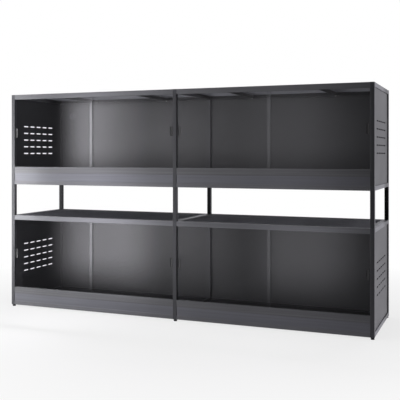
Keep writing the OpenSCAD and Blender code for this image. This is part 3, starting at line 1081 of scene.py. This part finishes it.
@dataclass
class CablePort:
    """A flanged ring in the back panel and the cap that turns in it."""

    wardrobe: Wardrobe
    level: str
    flange: float = 0.003
    edge: float = 0.0016  # from the flange's edge to its groove
    groove: Triple = (0.0008, 0.0022, 0.0006)  # width of its outer slope, flat and inner slope
    groove_deep: float = 0.0005
    sleeve: float = 0.028  # outer radius behind the flange
    pocket: float = 0.025  # radius of the cap's seat
    lip: float = 0.022  # radius of the hole in the lip behind the cap
    lip_depth: float = 0.003
    ring_rounding: float = 0.0004
    rim: float = 0.004  # wall round the cap's hollows
    bar: float = 0.012  # width of the bar between them
    recess: float = 0.0037  # their depth
    recess_rounding: float = 0.0008
    notch: Span = (0.014, 0.012)  # width and height
    cap_rounding: float = 0.0005
    bristle: float = 0.00042  # thickness
    bristle_tip: Span = (0.2, 0.3)  # inset and length of its tip, in thicknesses
    row_share: float = 0.8  # from row to row, in thicknesses
    brush_inset: float = 0.0012  # from the cap's rear face
    brush_root: float = 0.0004  # how deep the bristles stand in the cap
    brush_short: float = 0.0010  # how much shorter than the notch they are

    @property
    def cap_body(self) -> str:
        """Gives the cap's body, which has the name of its node."""
        return f"{self.level}_cable_cap"

    def ring(self) -> Piece:
        """Makes the ring: a disc whose faces are stepped in and joined through.

        Returns:
            The ring.
        """
        node = f"{self.level}_cable_grommet"
        low, high = node_box(node)
        centre = middle((low, high))
        outer = half_width((low, high))
        deep = high.y - low.y
        slope_in, flat, slope_out = self.groove
        start = Vector((centre.x, low.y, centre.z))
        ring = turned(f"{node}_ring", start, REAR, outer, self.flange, sides=72)
        with editing(ring):
            pick_faces(ring, facing(REAR))
            bpy.ops.mesh.inset(thickness=outer - self.sleeve)
            push(REAR * (deep - self.flange))
            bpy.ops.mesh.inset(thickness=self.sleeve - self.lip)
            pick_faces(ring, facing(FRONT))
            bpy.ops.mesh.inset(thickness=self.edge)
            bpy.ops.mesh.inset(thickness=slope_in, depth=-self.groove_deep)
            bpy.ops.mesh.inset(thickness=flat)
            bpy.ops.mesh.inset(thickness=slope_out, depth=self.groove_deep)
            bpy.ops.mesh.inset(thickness=outer - self.pocket - self.edge - sum(self.groove))
            push(REAR * (deep - self.lip_depth))
            bpy.ops.mesh.inset(thickness=self.pocket - self.lip)
            pick_faces(ring, lambda _, at: (at - centre).xz.length < SAME)
            bpy.ops.mesh.bridge_edge_loops()
        round_edges(ring, self.ring_rounding, 2, angle=30.0)
        shade(ring)
        coat(ring, self.wardrobe(PORT_PLASTIC))
        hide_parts(node)
        return ring

    def cap(self) -> Piece:
        """Makes the cap with its two finger hollows, the bar between them and the cable notch.

        Returns:
            The cap.
        """
        low, high = node_box(self.cap_body)
        radius = half_width((low, high))
        deep = high.y - low.y
        centre = Vector((low.x + radius, low.y, high.z - radius))
        cap = turned(f"{self.cap_body}_disc", centre, REAR, radius, deep, sides=96)
        start = centre + FRONT * deep
        hollow = turned("hollow", start, REAR, radius - self.rim, deep + self.recess, sides=72)
        half = Vector((self.bar / 2, deep * THROUGH, radius))
        carve(hollow, block("bar", centre - half, centre + half))
        round_edges(hollow, self.recess_rounding, 3, angle=50.0)
        carve(cap, hollow)
        wide, tall = self.notch
        half = Vector((wide / 2, deep * THROUGH, radius))
        lowest = centre + DOWN * (2 * radius - tall)
        carve(cap, block("notch", lowest - half, lowest + half))
        round_edges(cap, self.cap_rounding, 2, angle=50.0)
        shade(cap)
        # The cap's light grey is a painted highlight.
        coat(cap, self.wardrobe(CAP_PAINTED_HIGHLIGHT_PLASTIC))
        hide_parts(self.cap_body)
        return cap

    def brush(self) -> Piece:
        """Makes the soft brush of two rows of bristles that closes the notch round a cable.

        Returns:
            The brush.
        """
        low, high = node_box(self.cap_body)
        radius = half_width((low, high))
        wide, tall = self.notch
        left = low.x + radius - wide / 2 + self.bristle / 2
        root = high.z - 2 * radius + tall + self.brush_root
        start = Vector((left, high.y - self.brush_inset, root))
        name = f"{self.cap_body}_brush"
        hair = turned(name, start, DOWN, self.bristle / 2, tall - self.brush_short, sides=6)
        narrow, drop = self.bristle_tip
        with editing(hair):
            pick_faces(hair, facing(DOWN))
            bpy.ops.mesh.inset(thickness=self.bristle * narrow, depth=self.bristle * drop)
        second = copied(hair, "second_row", Vector((0.5, self.row_share, 0)) * self.bristle)
        count = int(wide / self.bristle)
        repeat(hair, count, Vector((self.bristle, 0, 0)))
        repeat(second, count - 1, Vector((self.bristle, 0, 0)))
        brush = join(name, [hair, second])
        coat(brush, self.wardrobe(BRISTLE))
        return brush

    def build(self) -> None:
        """Builds the port in place of its two nodes."""
        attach(self.ring(), CABINET)
        for piece in (self.cap(), self.brush()):
            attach(piece, self.cap_body)
        log.info("built the %s cable port", self.level)


@dataclass
class BarScrews:
    """The screws that hold the cross bars, each with a washer and a cross slot."""

    wardrobe: Wardrobe
    nodes: dict[str, Piece]
    tip_share: float = 0.12  # of the head's radius
    tip_high: float = 0.0006
    washer: float = 0.0060  # radius
    washer_high: float = 0.0006
    washer_rounding: float = 0.0002
    head_high: float = 0.0024
    head_rounding: float = 0.0011
    slot_share: float = 0.62  # half of a slot's length, of the head's radius
    slot_wide: float = 0.0011
    slot_deep: float = 0.0012

    def screw(self, box: Box) -> Piece:
        """Makes one screw.

        Args:
            box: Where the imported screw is.

        Returns:
            The screw.
        """
        low, high = box
        centre = middle(box)
        radius = half_width(box)
        shank = high.z - low.z - self.head_high
        screw = turned("screw", at_height(centre, high.z), DOWN, radius / 2, shank, sides=24)
        with editing(screw):
            pick_faces(screw, facing(UP))
            bpy.ops.mesh.inset(thickness=radius * self.tip_share, depth=self.tip_high)
        rim = at_height(centre, low.z + self.head_high)
        washer = turned("washer", rim, DOWN, self.washer, self.washer_high, sides=40)
        round_edges(washer, self.washer_rounding, 2)
        under = rim + DOWN * self.washer_high
        dome = turned("dome", under, DOWN, radius, self.head_high - self.washer_high, sides=40)
        with editing(dome):
            pick_faces(dome, facing(DOWN))
            bpy.ops.mesh.bevel(offset=self.head_rounding, segments=5, affect="EDGES")
        crown = at_height(centre, low.z)
        long, thin = radius * self.slot_share, self.slot_wide / 2
        for size in ((long, thin), (thin, long)):
            half = Vector((*size, self.slot_deep))
            carve(dome, block("slot", crown - half, crown + half))
        shade(dome)
        return join("screw", [screw, washer, dome])

    def build(self) -> None:
        """Builds all the screws in place of their node."""
        screws = spread(self.nodes["bar_screws"], self.screw, "screw", "bar_screw_set")
        coat(screws, self.wardrobe(ZINC))
        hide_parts("bar_screws")
        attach(screws, CABINET)


@dataclass
class Feet:
    """The moulded feet, each with a recessed sole, a tapered wall, a collar and a stem."""

    wardrobe: Wardrobe
    nodes: dict[str, Piece]
    wall_high: float = 0.0080
    taper: float = 0.88  # width at the top of the wall, of that at the sole
    neck_inset: float = 0.0009
    neck_high: float = 0.0010
    ledge_inset: float = 0.0001
    ledge_share: float = 1.09  # width of the collar, of that inside the ledge
    collar_high: float = 0.0030
    collar_inset: float = 0.0050
    sole_rim: float = 0.0030
    recess_slope: float = 0.0006
    recess_deep: float = 0.0008
    rounding: float = 0.0007

    def foot(self, box: Box) -> Piece:
        """Makes one foot.

        Args:
            box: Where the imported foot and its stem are.

        Returns:
            The foot.
        """
        low, high = box
        centre = middle(box)
        stem = high.z - low.z - self.wall_high - self.neck_high - self.collar_high
        foot = turned("foot", at_height(centre, low.z), UP, half_width(box), self.wall_high, sides=48)
        with editing(foot):
            pick_faces(foot, facing(UP))
            widen(self.taper, centre)
            bpy.ops.mesh.inset(thickness=self.neck_inset)
            push(UP * self.neck_high)
            bpy.ops.mesh.inset(thickness=self.ledge_inset)
            push(UP * 0.0)  # a second ring of corners in the same place, for the ledge
            widen(self.ledge_share, centre)
            push(UP * self.collar_high)
            bpy.ops.mesh.inset(thickness=self.collar_inset)
            push(UP * stem)
            pick_faces(foot, facing(DOWN))
            bpy.ops.mesh.inset(thickness=self.sole_rim)
            bpy.ops.mesh.inset(thickness=self.recess_slope, depth=-self.recess_deep)
        round_edges(foot, self.rounding, 3)
        shade(foot)
        return foot

    def build(self) -> None:
        """Builds all the feet in place of their node."""
        feet = spread(self.nodes["feet"], self.foot, "foot", "foot_set")
        coat(feet, self.wardrobe(RUBBER))
        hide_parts("feet")
        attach(feet, CABINET)


# ---- Studio, with places in metres ----


@dataclass(frozen=True)
class Patch:
    """A soft-edged patch of light on the diffuser: its share of the glow and its four edges."""

    share: float
    rise_x: Span
    fall_x: Span
    rise_z: Span
    fall_z: Span

    def light(self, art: Sketch) -> Field:
        """Gives how bright the patch is at each place.

        Args:
            art: The tree that is drawn.

        Returns:
            The brightness.
        """
        along, up = art.axis("X"), art.axis("Z")
        wide = art.smooth(along, self.rise_x) * (1.0 - art.smooth(along, self.fall_x))
        tall = art.smooth(up, self.rise_z) * (1.0 - art.smooth(up, self.fall_z))
        return wide * tall * self.share


@dataclass(frozen=True)
class Softbox:
    """A rectangular lamp: where it stands, what it points at, its size and its power in watts."""

    name: str
    place: Triple
    aim: Triple
    size: Span
    power: float

    def build(self) -> None:
        """Adds the lamp, unseen by the camera."""
        data = bpy.data.lights.new(self.name, "AREA")
        data.shape = "RECTANGLE"
        data.size, data.size_y = self.size
        data.energy = self.power
        lamp = bpy.data.objects.new(self.name, data)
        lamp.location = self.place
        towards = Vector(self.aim) - Vector(self.place)
        lamp.rotation_euler = towards.to_track_quat("-Z", "Y").to_euler()
        lamp.visible_camera = False
        bpy.context.collection.objects.link(lamp)


UPPER_Z = ((0.754, 1.110), (1.365, 1.490))
LOWER_Z = ((-0.014, 0.345), (0.56, 0.88))
PATCHES = (
    Patch(0.91, (-1.21, -0.92), (-0.96, -0.38), *UPPER_Z),
    Patch(0.09, (-1.25, -0.92), (0.66, 1.24), *UPPER_Z),
    Patch(0.06, (0.22, 0.50), (0.62, 1.02), *UPPER_Z),
    Patch(0.78, (-1.30, -0.90), (-0.70, -0.28), *LOWER_Z),
    Patch(0.07, (-1.25, -0.92), (0.06, 0.51), *LOWER_Z),
    Patch(0.24, (0.25, 0.58), (0.74, 1.16), *LOWER_Z),
)
SOFTBOXES = (
    Softbox("key_left", (-3.5, -2.1, 0.60), (-0.8, 0.0, 0.7), (1.3, 1.2), 62.0),
    Softbox("low_left", (-2.3, -3.3, 0.50), (-0.6, 0.0, 0.4), (0.9, 0.26), 8.0),
    Softbox("high_left", (-4.2, -3.6, 2.70), (-0.8, 0.0, 0.7), (3.0, 1.7), 44.0),
    Softbox("overhead", (0.0, 0.3, 4.2), (0.0, 0.0, 0.7), (4.0, 2.4), 60.0),
)


@dataclass
class Studio:
    """Pale floor, soft lamps, white surroundings and the camera."""

    eye: Triple = (1.8240, -4.4006, 1.0368)
    turn_deg: float = 21.99
    focal_px: float = 721.45
    picture_px: float = 400.0
    horizon_px: float = 154.3  # from the picture's top
    sensor_mm: float = 36.0
    panel_y: float = -0.8
    panel_x: Span = (-1.5, 1.5)
    panel_z: Span = (0.01, 1.60)
    glow: float = 2.6
    dim: float = 0.05
    cool: Colour = (1.0, 0.985, 1.05, 1.0)
    behind_y: Span = (-0.3, 0.6)  # directions from dim to bright, towards the rear
    below_z: Span = (-0.05, -0.30)  # directions from dark to the light from below
    below_light: float = 0.30
    ambient: float = 0.25  # strength of the surroundings as a lamp
    floor_size: float = 60.0
    floor_tone: float = 0.86
    floor_roughness: float = 0.9
    white_share: float = 0.75  # how much of white the camera sees on the floor by the part
    white_from: float = 1.2  # distance from the middle at which that share begins to rise
    white_width: float = 1.4  # distance over which it rises to all

    def camera(self) -> None:
        """Sets the camera: level, turned to the left, with a vertical shift."""
        data = bpy.data.cameras.new("camera")
        data.sensor_width = self.sensor_mm
        data.lens = self.focal_px / self.picture_px * self.sensor_mm
        data.shift_y = (self.horizon_px - self.picture_px / 2) / self.picture_px
        camera = bpy.data.objects.new("camera", data)
        camera.location = self.eye
        camera.rotation_euler = (math.radians(90.0), 0.0, math.radians(self.turn_deg))
        bpy.context.collection.objects.link(camera)
        bpy.context.scene.camera = camera

    def glow_panel(self) -> None:
        """Stands a tall diffuser in front, with soft patches of light, unseen by the camera."""
        left, right = self.panel_x
        bottom, top = self.panel_z
        deselect()
        bpy.ops.mesh.primitive_plane_add(
            size=1.0,
            location=((left + right) / 2, self.panel_y, (bottom + top) / 2),
            rotation=(math.radians(90.0), 0.0, 0.0),
        )
        bpy.context.active_object.scale = (right - left, top - bottom, 1.0)
        panel = settle("glow_panel")
        art = Sketch(bpy.data.materials.new("glow_panel"))
        lights = [patch.light(art) for patch in PATCHES]
        strength = sum(lights[1:], lights[0]) * self.glow + self.dim
        coat(panel, art.done(art.node("ShaderNodeEmission", {"Color": self.cool, "Strength": strength})))
        panel.visible_camera = False
        panel.visible_shadow = False

    def surroundings(self) -> None:
        """Makes the world white to the camera, and dim on the camera's side in reflections."""
        art = Sketch(bpy.data.worlds.new("surroundings"))
        path = art.node("ShaderNodeLightPath")
        seen = art.field(path, "Is Camera Ray")
        bounced = art.field(path, "Is Glossy Ray").larger(art.field(path, "Is Transmission Ray"))
        where = art.node("ShaderNodeTexCoord").outputs["Generated"]
        split = art.node("ShaderNodeSeparateXYZ", {0: where})
        behind = art.ramp(art.field(split, "Y"), self.behind_y, (self.dim, 1.0))
        below = art.ramp(art.field(split, "Z"), self.below_z, (0.0, self.below_light))
        lit = art.blend(bounced, self.ambient, behind.larger(below))
        values = {"Color": art.mix(seen, self.cool, WHITE), "Strength": art.blend(seen, lit, 1.0)}
        bpy.context.scene.world = art.done(art.node("ShaderNodeBackground", values), "World")

    def floor(self) -> None:
        """Lays a pale floor that keeps the shadow and goes white away from the part."""
        deselect()
        bpy.ops.mesh.primitive_plane_add(size=self.floor_size, location=(0.0, 0.0, 0.0))
        floor = settle("studio_floor")
        art = Sketch(bpy.data.materials.new("studio_floor"))
        where = art.node("ShaderNodeTexCoord").outputs["Object"]
        away = art.field(art.node("ShaderNodeVectorMath", {0: where}, operation="LENGTH"), "Value")
        seen = art.field(art.node("ShaderNodeLightPath"), "Is Camera Ray")
        far = away.above(self.white_from, self.white_width)
        white = (far * (1.0 - self.white_share) + self.white_share) * seen
        paint = art.surface({"Base Color": grey(self.floor_tone), "Roughness": self.floor_roughness})
        glow = art.node("ShaderNodeEmission", {"Color": WHITE, "Strength": 1.0})
        coat(floor, art.done(art.layer(white, paint, glow)))
        floor.visible_glossy = False
        floor.visible_transmission = False

    def build(self) -> None:
        """Sets the whole studio."""
        bpy.context.scene.view_settings.view_transform = "Standard"
        self.camera()
        self.glow_panel()
        for softbox in SOFTBOXES:
            softbox.build()
        self.surroundings()
        self.floor()
        log.info("set the studio with %d lamps", len(SOFTBOXES))


def main() -> None:
    """Builds the looks in order and reports each piece."""
    logging.basicConfig(level=logging.INFO, format="%(name)s: %(message)s")
    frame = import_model()
    wardrobe = Wardrobe()
    FrameDressing(wardrobe, frame["nodes"]).dress()
    for level in LEVELS:
        for side in SIDES:
            ScreenTop(wardrobe, level, side).build()
        for number in DOORS:
            SlidingDoor(wardrobe, level, number).build()
        CablePort(wardrobe, level).build()
    BarScrews(wardrobe, frame["nodes"]).build()
    Feet(wardrobe, frame["nodes"]).build()
    Studio().build()


if __name__ == "__main__":
    main()
